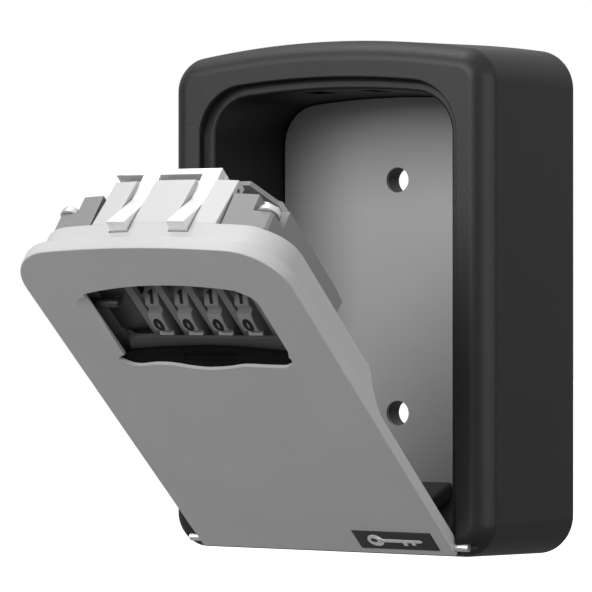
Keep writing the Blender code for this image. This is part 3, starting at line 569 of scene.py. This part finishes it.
def scoop_cutter():
    """Shallow wedge at the window's left: nothing at its left edge and foot, deepest inside."""
    columns, rows = 10, 26
    left, right, foot, head = -23.5, -18.4, 75.8, 93.2
    corner_width, corner_height = 3.2, 3.4     # rounded top left corner
    ramp_width, ramp_height = 3.8, 13.0        # where the depth grows
    least, added = 0.01, 0.62                  # depth

    def left_edge(z):
        k = max(0.0, z - (head - corner_height)) / corner_height
        return left + corner_width * (1 - math.sqrt(max(0.0, 1 - k * k)))

    def depth(x, z, edge):
        across = max(0.0, min(1.0, (x - edge) / ramp_width))
        up = max(0.0, min(1.0, (z - foot) / ramp_height))
        return least + added * across * (up * up * (3 - 2 * up))

    bm = bmesh.new()
    front, back = [], []
    for j in range(rows + 1):
        z = foot + (head - foot) * (j / rows)
        edge = left_edge(z)
        xs = [edge + (right - edge) * i / columns for i in range(columns + 1)]
        front.append([bm.verts.new((x, -1.0, z)) for x in xs])
        back.append([bm.verts.new((x, depth(x, z, edge), z)) for x in xs])
    for f0, f1, b0, b1 in zip(front, front[1:], back, back[1:]):
        for i in range(columns):
            bm.faces.new((f0[i], f0[i + 1], f1[i + 1], f1[i]))
            bm.faces.new((b0[i], b1[i], b1[i + 1], b0[i + 1]))
    for f0, f1, b0, b1 in zip(front, front[1:], back, back[1:]):
        bm.faces.new((f0[0], f1[0], b1[0], b0[0]))
        bm.faces.new((f0[-1], b0[-1], b1[-1], f1[-1]))
    for i in range(columns):
        bm.faces.new((front[0][i], back[0][i], back[0][i + 1], front[0][i + 1]))
        bm.faces.new((front[-1][i], front[-1][i + 1], back[-1][i + 1], back[-1][i]))
    return from_bm("scoop", bm)


def build_door():
    door = arched_loft("door_casting", DOOR_OUTLINE, DOOR_STATIONS)
    add_skirt(door)
    add_latch_block(door)
    for side in SIDES:
        join(door, rod_y("top_boss", side * TOP_SCREW_X, TOP_BOSS_Z, 2.8, 9.75, 2.5, 32))
        join(door, rod_y("low_boss", side * LOW_SCREW_X, LOW_SCREW_Z, 2.8, 10.8, 2.6, 32))
    taper = [(12.5, 57.0)] + SKIRT_TAPER + [(3.2, 30.0), (12.5, 30.0)]
    cut(door, profile("taper", taper, -40, 40))
    cut(door, slab("shutter_channel", rect(-25.0, 46.5, 25.0, 98.3), 0.85, 3.8))
    cut(door, slab("lip_pocket", [(x, z - 0.3) for x, z in offset_outline(LIP, 0.1)], -1, 1.6))
    cut(door, slab("window", window_outline(), -1, 1.6))
    cut(door, scoop_cutter())
    tools = []
    for side in SIDES:
        tools += [
            box("hook_gap", span(side, 5.15, 10.15), (7.2, 26.0), (95.0, 112.0)),
            rod_x("hinge_bore", DOOR_HINGE_Y, DOOR_HINGE_Z, side * 27.9, side * 36, 1.06, 24),
            rod_y("top_thread", side * TOP_SCREW_X, TOP_BOSS_Z, 4.6, 12.0, 1.08, 20),
            rod_y("low_thread", side * LOW_SCREW_X, LOW_SCREW_Z, 4.6, 12.0, 1.08, 20),
        ]
    tools.append(box("badge_pocket", (10.2, 30.9), (-1, 0.4), (1.9, 8.8)))
    tools.append(rod_x("block_hole", 21.3, 103.2, 12.0, 18.0, 0.6, 20))
    cut(door, *tools)
    clean(door)
    place(door, "door", DOOR_GREY, "door_shell", angle=28)


# ---------------------------------------------------------------- lock housing casting
HOUSING_HALF, HOUSING_FOOT, HOUSING_SHOULDER = 27.5, 58.6, 103.2
GAP_LEFT, GAP_RIGHT = -17.3, 16.4              # gap in the top edge


def build_housing():
    right = [(x, crown(x, 105.55, 222)) for x in (26.9, 25.0, 23.0, 21.0, 19.0, GAP_RIGHT)]
    left = [(-x, z) for x, z in right[-2::-1]]
    outline = ([(-HOUSING_HALF, HOUSING_FOOT), (HOUSING_HALF, HOUSING_FOOT),
                (HOUSING_HALF, HOUSING_SHOULDER)] + right
               + [(GAP_RIGHT, 101.2), (GAP_LEFT, 101.2), (GAP_LEFT, left[0][1] + 0.1)]
               + left + [(-HOUSING_HALF, HOUSING_SHOULDER)])
    housing = slab("housing", outline, 10.1, 19.4)
    front = [(9.0, 50.0), (11.1, 50.0), (11.1, 93.5), (10.1, HOUSING_SHOULDER),
             (9.0, HOUSING_SHOULDER)]
    cut(housing, profile("front", front, -40, 40))
    cut(housing, slab("opening", rect(-21.0, 62.0, 24.1, 101.0), 9, 23))
    cut(housing, box("gap", (GAP_LEFT, GAP_RIGHT), (9, 23), (99, 110)))
    chamfer = [(20.1, 72.5), (11.0, 58.9), (10.4, 57.0), (24.0, 57.0), (24.0, 72.5)]
    cut(housing, profile("chamfer", chamfer, -40, 40))
    tools = []
    for side in SIDES:
        tools += [box("ear_notch", span(side, 22.6, 30), (14.9, 23), (98.5, 110)),
                  box("low_notch", span(side, 23.8, 30), (12.6, 22), (56.0, 69.3))]
    cut(housing, *tools)
    bevel(housing, 0.2)
    tools = []
    for side in SIDES:
        tools += [rod_y("top_hole", side * TOP_SCREW_X, TOP_BOSS_Z, 9, 16, 1.25, 24),
                  rod_y("low_hole", side * LOW_SCREW_X, LOW_SCREW_Z, 9, 16, 1.25, 24)]
    tools += [rod_y("left_thread", -25.0, z, 14.0, 23, 0.88, 20) for z in (93.5, 78.5)]
    cut(housing, *tools)
    clean(housing)
    place(housing, "door", HOUSING, "lock_housing")


# ---------------------------------------------------------------- badge with a key pictogram
KEY_MIDDLE = 5.35
KEY_FRONT, KEY_BACK = -0.22, -0.05
KEY_BLADE = [                                  # (x, z), with two teeth below
    (16.9, 4.85), (22.3, 4.85), (22.3, 3.7), (23.3, 3.7), (23.3, 4.85), (24.5, 4.85),
    (24.5, 3.95), (25.5, 3.95), (25.5, 4.85), (27.0, 4.85), (27.6, KEY_MIDDLE), (27.0, 5.85),
    (16.9, 5.85)]


def build_badge():
    badge = slab("badge", round_rect(10.35, 2.05, 30.75, 8.65, 0.35, 4), -0.12, 0.3)
    bevel(badge, 0.06)
    place(badge, "door", BADGE, "label_badge", angle=35)
    mark = slab("key_pictogram", arc(15.4, KEY_MIDDLE, 2.05, 0, 360, 40)[:-1],
                KEY_FRONT, KEY_BACK, arc(15.0, KEY_MIDDLE, 0.85, 0, 360, 24)[:-1])
    join(mark, slab("blade", KEY_BLADE, KEY_FRONT, KEY_BACK))
    place(mark, "door", MARK, angle=35)


# ---------------------------------------------------------------- screws in the housing's ears
def build_ear_screw(side, word):
    """Pan head with a domed rim and a cross recess; the shank points to the front."""
    x, y, z = side * TOP_SCREW_X, 15.0, 102.2  # centre of the head's underside
    r, head, shank = 2.65, 1.9, 9.0
    screw = turned("ear_screw_" + word, (x, y - shank, z), (0, 1, 0), [
        (0, 1.0), (8.98, 1.0), (shank, r - 0.15), (9.12, r), (shank + head * 0.5, r),
        (shank + head * 0.75, r * 0.94), (shank + head * 0.92, r * 0.8),
        (shank + head, r * 0.55)])
    slot, half = r * 0.6, 0.3                  # half length and half width of the cross
    depth = (y + head - 0.7, y + head + 1)
    cut(screw, box("cross_wide", (x - slot, x + slot), depth, (z - half, z + half)),
        box("cross_tall", (x - half, x + half), depth, (z - slot, z + slot)))
    place(screw, "door", STEEL, "housing_screw_top_" + word, angle=35)


# ---------------------------------------------------------------- number wheels
DIGIT_STEP = 36
DIGIT_LIFT = 4.4                               # angle of digit 0 above straight ahead
WHEEL_HALF = 1.9
NOTCH_START, PANEL_START = 20.0, 31.4
# serrated notch between digit panels, (angle, depth below the rim)
NOTCH = [(20.4, 0.0), (20.9, 0.02), (21.5, 0.28), (21.75, 0.24), (22.4, 0.5), (22.65, 0.46),
         (23.3, 0.72), (23.55, 0.68), (24.3, 0.95), (24.7, 0.92), (27.6, 0.62), (30.3, 0.28),
         (30.8, 0.03)]
# rounded rim, (x from the wheel's middle, drop of the radius)
WHEEL_RIM = ((-WHEEL_HALF, 0.32), (-WHEEL_HALF + 0.06, 0.14), (-WHEEL_HALF + 0.22, 0.0),
             (WHEEL_HALF - 0.22, 0.0), (WHEEL_HALF - 0.06, 0.14), (WHEEL_HALF, 0.32))
# middle line of each digit, (across, up)
DIGITS = (
    [(math.sin(math.radians(a)) * 0.74, math.cos(math.radians(a)) * 1.45)
     for a in range(0, 361, 12)],
    [(-0.62, 0.72), (-0.1, 1.2), (0.12, 1.5), (0.12, -1.5)],
    [(-0.8, 0.75), (-0.62, 1.25), (0.0, 1.5), (0.62, 1.2), (0.78, 0.6), (0.45, 0.0),
     (-0.3, -0.75), (-0.85, -1.5), (0.85, -1.5)],
    [(-0.75, 1.1), (0.0, 1.5), (0.7, 1.15), (0.65, 0.45), (0.0, 0.12), (0.75, -0.3),
     (0.75, -1.1), (0.0, -1.5), (-0.8, -1.1)],
    [(0.4, -1.5), (0.4, 1.5), (-0.85, -0.6), (0.9, -0.6)],
    [(0.75, 1.5), (-0.6, 1.5), (-0.7, 0.25), (0.1, 0.42), (0.75, -0.1), (0.72, -1.0),
     (0.0, -1.5), (-0.8, -1.15)],
    [(0.6, 1.35), (-0.2, 1.3), (-0.75, 0.3), (-0.75, -0.8), (-0.2, -1.48), (0.5, -1.3),
     (0.78, -0.6), (0.4, 0.05), (-0.3, 0.05), (-0.72, -0.4)],
    [(-0.8, 1.5), (0.8, 1.5), (0.1, 0.0), (-0.2, -1.5)],
    [(0.0, 0.1), (0.62, 0.5), (0.6, 1.2), (0.0, 1.5), (-0.6, 1.2), (-0.62, 0.5), (0.0, 0.1),
     (0.75, -0.4), (0.7, -1.15), (0.0, -1.5), (-0.7, -1.15), (-0.75, -0.4), (0.0, 0.1)],
    [(-0.6, -1.35), (0.2, -1.3), (0.75, -0.3), (0.75, 0.8), (0.2, 1.48), (-0.5, 1.3),
     (-0.78, 0.6), (-0.4, -0.05), (0.3, -0.05), (0.72, 0.4)],
)
CURVED_DIGITS = (2, 3, 5, 6, 8, 9)


def wheel_outline():
    """Ten digit panels and notches as (angle up from straight ahead, radius)."""
    points = []
    panel = NOTCH_START + DIGIT_STEP - PANEL_START
    for k in range(10):
        turn = DIGIT_STEP * k
        points += [(turn + a, WHEEL_R - depth) for a, depth in NOTCH]
        points += [(turn + PANEL_START + panel * i / 8, WHEEL_R) for i in range(9)]
    return points


def on_wheel(axis, x, angle, radius):
    a = math.radians(angle)
    return (axis[0] + x, axis[1] - radius * math.cos(a), axis[2] + radius * math.sin(a))


def stroke(bm, axis, points, angle, half):
    """Raised band of half width half along a line, wrapped on the rim at an angle."""
    line = []
    for (ax, ay), (bx, by) in zip(points, points[1:]):
        n = max(1, int(math.hypot(bx - ax, by - ay) / 0.18))
        line += [(ax + (bx - ax) * i / n, ay + (by - ay) * i / n) for i in range(n)]
    closed = math.dist(points[0], points[-1]) < 1e-6
    if not closed:
        line.append(points[-1])
    n = len(line)
    left, right = [], []
    for i, (x, y) in enumerate(line):
        xa, ya = line[(i - 1) % n] if closed or i else (x, y)
        xb, yb = line[(i + 1) % n] if closed or i < n - 1 else (x, y)
        dx, dy = xb - xa, yb - ya
        length = math.hypot(dx, dy) or 1.0
        nx, ny = -dy / length * half, dx / length * half
        left.append((x + nx, y + ny))
        right.append((x - nx, y - ny))

    def wrap(side, radius):
        return [bm.verts.new(on_wheel(axis, across, angle + math.degrees(up / WHEEL_R), radius))
                for across, up in side]

    outer, sunk = WHEEL_R + 0.03, WHEEL_R - 0.06
    left_top = wrap(left, outer)
    right_top = wrap(right, outer)
    left_low = wrap(left, sunk)
    right_low = wrap(right, sunk)
    for i in range(n if closed else n - 1):
        j = (i + 1) % n
        bm.faces.new((left_top[i], left_top[j], right_top[j], right_top[i]))
        bm.faces.new((left_low[i], right_low[i], right_low[j], left_low[j]))
        bm.faces.new((left_top[i], left_low[i], left_low[j], left_top[j]))
        bm.faces.new((right_top[i], right_top[j], right_low[j], right_low[i]))
    if not closed:
        bm.faces.new((left_top[0], right_top[0], right_low[0], left_low[0]))
        bm.faces.new((left_top[-1], left_low[-1], right_low[-1], right_top[-1]))


def build_wheel(name):
    axis = TO_DOOR @ Vector(JOINTS[name + "_spin"]["pos_m"])
    x, y, z = axis
    outline = wheel_outline()
    wheel = loft(name + "_wheel", [[on_wheel(axis, across, a, r - drop) for a, r in outline]
                                   for across, drop in WHEEL_RIM])
    cut(wheel, rod_x("bore", y, z, x - 4, x + 4, 1.66, 32))
    cut(wheel, turned("dish", (x - WHEEL_HALF - 1, y, z), (1, 0, 0),
                      [(0, 8.9), (1.35, 8.7), (1.36, 8.6)], sides=64))
    place(wheel, name, WHEEL, name, angle=24)
    bm = bmesh.new()
    for digit, line in enumerate(DIGITS):
        points = smooth_line(line) if digit in CURVED_DIGITS else line
        half = 0.42 if digit == 1 else 0.50
        stroke(bm, axis, points, DIGIT_LIFT + DIGIT_STEP * digit, half)
    place(from_bm(name + "_digits", bm), name, INK, angle=60, weighted=False)


# ---------------------------------------------------------------- mouldings around the wheels
def build_dial_frame():
    """Face plate between the wheels, with rails, posts and cheeks."""
    plate = slab("dial_frame_body", [
        (-22.6, 64.0), (22.6, 64.0), (22.6, 68.4), (24.8, 69.3), (24.8, 97.7), (-24.8, 97.7),
        (-24.8, 69.2), (-22.6, 68.3)], 4.1, 5.5)
    cheek = [(5.0, 73.6), (14.1, 73.6), (17.5, 77.0), (17.5, 82.0), (14.1, 85.6), (5.0, 85.6)]
    join(plate, box("left_rail", (-24.7, -23.7), (1.95, 4.5), (69.35, 97.6)))
    join(plate, box("right_rail", (23.65, 24.7), (1.95, 4.5), (69.35, 97.6)))
    join(plate, box("left_post", (-24.6, -22.4), (5.0, 10.3), (82.0, 97.0)),
         box("right_post", (22.5, 24.6), (5.0, 10.3), (82.0, 97.0)))
    join(plate, profile("left_cheek", cheek, -11.95, -10.35),
         profile("right_cheek", cheek, 20.65, 22.25))
    join(plate, box("shelf", (-11.9, 22.2), (4.9, 13.0), (64.1, 65.4)))
    join(plate, box("slot_wall", (-21.4, -20.35), (5.0, 9.5), (77.0, 97.0)))
    tools = [box("lever_slot", (-20.3, -12.4), (0, 8), (73.8, 96.4)),
             rod_x("shaft_bore", SHAFT_Y, SHAFT_Z, -14, 26, 1.62, 32)]
    tools += [slab("wheel_slot", round_rect(x - 2.12, 69.4, x + 3.7, 93.8, 0.5, 4), 0, 7)
              for x in WHEEL_STATIONS]
    cut(plate, *tools)
    bevel(plate, 0.12)
    place(plate, "door", FRAME_GREY, "dial_frame")


def build_shutter_guide():
    guide = slab("shutter_guide_body", [
        (-24.6, 46.8), (24.6, 46.8), (24.6, 68.9), (23.4, 68.9), (23.4, 77.0),
        *arc(-14.8, 72.9, 4.1, 90, 180, 12), (-18.9, 68.9), (-24.6, 68.9)], 1.95, 2.68)
    bevel(guide, 0.1)
    place(guide, "door", GUIDE, "shutter_guide")


# ---------------------------------------------------------------- release lever and latch
def build_release_lever():
    lever = box("release_lever_body", (-20.0, -12.7), (4.25, 5.8), (77.5, 96.0))
    join(lever, box("arm", (-19.15, -14.2), (5.0, 25.2), (84.5, 89.5)))
    join(lever, slab("neck", rect(-19.4, 86.9, -15.2, 88.4), 2.7, 4.6))
    cut(lever, rod_y("thread", LEVER_SCREW_X, LEVER_SCREW_Z, 19.0, 27, 0.88, 20))
    bevel(lever, 0.18)
    join(lever, turned("thumb_bar", (-22.6, 2.97, 87.7), (1, 0, 0), [
        (0, 0.45), (0.12, 0.75), (0.4, 0.97), (0.85, 1.05), (7.0, 1.05), (7.4, 0.92),
        (7.6, 0.65)], sides=40))
    place(lever, "latch", LEVER, "release_lever")


def add_hook(latch, side):
    """Hook reaching forwards, with a small nib on its left flank."""
    left, right = span(side, 5.4, 9.9)
    hook = profile("hook", [
        (8.1, 109.0), (7.5, 106.4), (7.5, 103.6), (16.5, 101.2), (26.4, 101.2), (26.4, 104.2),
        (21.0, 104.1), *arc(19.4, 108.3, 4.0, 250, 270, 5)[::-1]], left, right)
    bevel(hook, 0.14)
    join(latch, hook)
    # the nib's outline is in x and y, so the upright slab is laid flat
    nib = slab("nib", [(left - 1.1, 20.4), (left - 0.5, 19.3), (left + 0.4, 19.0),
                       (left + 0.4, 24.0), (left - 0.2, 23.4), (left - 0.4, 21.6)],
               -104.1, -103.2)
    nib.data.transform(Matrix.Rotation(math.radians(-90), 4, "X"))
    join(latch, nib)


def build_latch_plate():
    latch = slab("latch_plate_body", [
        (-17.1, 76.0), (18.5, 76.0), (18.5, 91.2), (16.6, 93.2), (10.2, 94.2), (10.2, 101.8),
        (-17.1, 101.8)], 25.6, 27.0)
    web = slab("web", rect(-17.1, 101.0, 10.0, 104.3), 25.8, 27.4)
    bevel(web, 0.18)
    join(latch, web, box("foot", (-17.0, 16.8), (26.3, 28.7), (76.1, 77.4)))
    for side in SIDES:
        add_hook(latch, side)
    fence = [(12.63, 86.82), (15.23, 86.82), (15.23, 90.5), (26.2, 90.5), (26.2, 93.0),
             (12.63, 93.0)]
    for x in WHEEL_STATIONS:
        join(latch, profile("fence", fence, x + 2.2, x + 3.6))
    cut(latch, rod_y("screw_hole", LEVER_SCREW_X, LEVER_SCREW_Z, 24, 29, 0.95, 20))
    clean(latch)
    place(latch, "latch", ZINC, "latch_plate")


# ---------------------------------------------------------------- shutter with its thumb lip
def build_shutter():
    shutter = box("shutter_body", (-24.6, 24.6), (1.0, 1.75), (46.9, 72.0))
    lip = slab("lip", [(x - 0.2, z - 0.4) for x, z in LIP], 0.92, 1.75)
    cut(lip, loft("relief", [
        [(-5.6, -1.0, 69.9), (8.6, -1.0, 69.9), (11.4, -1.0, 76.5), (-4.4, -1.0, 76.5)],
        [(-5.2, 1.12, 70.2), (8.2, 1.12, 70.2), (11.0, 1.12, 76.5), (-4.0, 1.12, 76.5)]]))
    bevel(lip, 0.12)
    join(shutter, lip)
    clean(shutter)
    place(shutter, "shutter", SHUTTER, "shutter")


# ---------------------------------------------------------------- stage, light and camera
def floor_material():
    """Glowing white to the camera, dark grey to every other ray."""
    material = bpy.data.materials.new("pale_floor")
    material.use_nodes = True
    tree = material.node_tree
    tree.nodes.clear()
    link = tree.links.new
    output = add_node(tree, "OutputMaterial")
    pale = add_node(tree, "BsdfDiffuse", {"Color": (0.9, 0.9, 0.9, 1)})
    glow = add_node(tree, "Emission", {"Color": (1, 1, 1, 1), "Strength": 0.45})
    rays = add_node(tree, "LightPath")
    dark = add_node(tree, "BsdfDiffuse", {"Color": (0.22, 0.22, 0.22, 1)})
    seen = add_node(tree, "AddShader")
    link(pale.outputs[0], seen.inputs[0])
    link(glow.outputs[0], seen.inputs[1])
    mix = add_node(tree, "MixShader")
    link(rays.outputs["Is Camera Ray"], mix.inputs[0])
    link(dark.outputs[0], mix.inputs[1])
    link(seen.outputs[0], mix.inputs[2])
    link(mix.outputs[0], output.inputs["Surface"])
    return material


def build_floor():
    bm = bmesh.new()
    bmesh.ops.create_grid(bm, x_segments=2, y_segments=2, size=4.0)
    mesh = bpy.data.meshes.new("floor")
    bm.to_mesh(mesh)
    bm.free()
    floor = bpy.data.objects.new("floor", mesh)
    floor.location = (0, 0, -0.125)
    mesh.materials.append(floor_material())
    scene.collection.objects.link(floor)


def build_world():
    """White to the camera; lights the scene with greys that brighten upwards."""
    world = bpy.data.worlds.new("studio")
    scene.world = world
    world.use_nodes = True
    tree = world.node_tree
    tree.nodes.clear()
    link = tree.links.new
    output = add_node(tree, "OutputWorld")
    direction = add_node(tree, "TexCoord")
    split = add_node(tree, "SeparateXYZ")
    link(direction.outputs["Generated"], split.inputs[0])
    ramp = add_node(tree, "ValToRGB")
    height = add_node(tree, "MapRange", {"From Min": -1.0, "From Max": 1.0})
    link(split.outputs["Z"], height.inputs["Value"])
    link(height.outputs["Result"], ramp.inputs["Fac"])
    stops = ramp.color_ramp.elements
    stops[0].color = (0.22, 0.22, 0.22, 1)
    stops[1].color = (0.85, 0.85, 0.85, 1)
    stops.new(0.5).color = (0.45, 0.45, 0.45, 1)
    greys = add_node(tree, "Background", {"Strength": 1.0})
    link(ramp.outputs["Color"], greys.inputs["Color"])
    white = add_node(tree, "Background", {"Color": (1, 1, 1, 1), "Strength": 1.0})
    rays = add_node(tree, "LightPath")
    mix = add_node(tree, "MixShader")
    link(rays.outputs["Is Camera Ray"], mix.inputs[0])
    link(greys.outputs[0], mix.inputs[1])
    link(white.outputs[0], mix.inputs[2])
    link(mix.outputs[0], output.inputs["Surface"])


def area_light(name, location, size, power, target=(0, -0.06, 0)):
    light = bpy.data.lights.new(name, "AREA")
    light.energy = power
    light.size = size
    ob = bpy.data.objects.new(name, light)
    ob.location = location
    aim = Vector(target) - Vector(location)
    ob.rotation_euler = aim.to_track_quat("-Z", "Y").to_euler()
    scene.collection.objects.link(ob)


def build_camera():
    """Level long lens, to the front right of the box."""
    data = bpy.data.cameras.new("camera")
    camera = bpy.data.objects.new("camera", data)
    scene.collection.objects.link(camera)
    scene.camera = camera
    data.sensor_width = 36.0
    data.lens = 212.83
    data.clip_start = 0.01
    data.clip_end = 50
    camera.location = (0.4096, -0.7510, 0.00004)
    camera.rotation_euler = (math.radians(90), 0, math.radians(30.475))


# ---------------------------------------------------------------- build
build_case()
dress_kept_nodes()
build_door()
build_housing()
build_badge()
build_ear_screw(-1, "left")
build_ear_screw(1, "right")
for number in range(1, 5):
    build_wheel("dial_%d" % number)
build_dial_frame()
build_shutter_guide()
build_release_lever()
build_latch_plate()
build_shutter()

scene.view_settings.view_transform = "Standard"
scene.view_settings.look = "None"
scene.view_settings.exposure = 0.0
scene.view_settings.gamma = 1.0
build_floor()
build_world()
area_light("top_softbox", location=(-0.35, 0.0, 1.1), size=0.55, power=4.5, target=(0, -0.05, 0))
area_light("front_key", location=(-0.45, -1.75, 0.75), size=1.3, power=34.0)
area_light("right_fill", location=(2.0, -0.35, 0.1), size=1.2, power=18.0)
build_camera()

# ---------------------------------------------------------------- final update
bpy.context.view_layer.update()
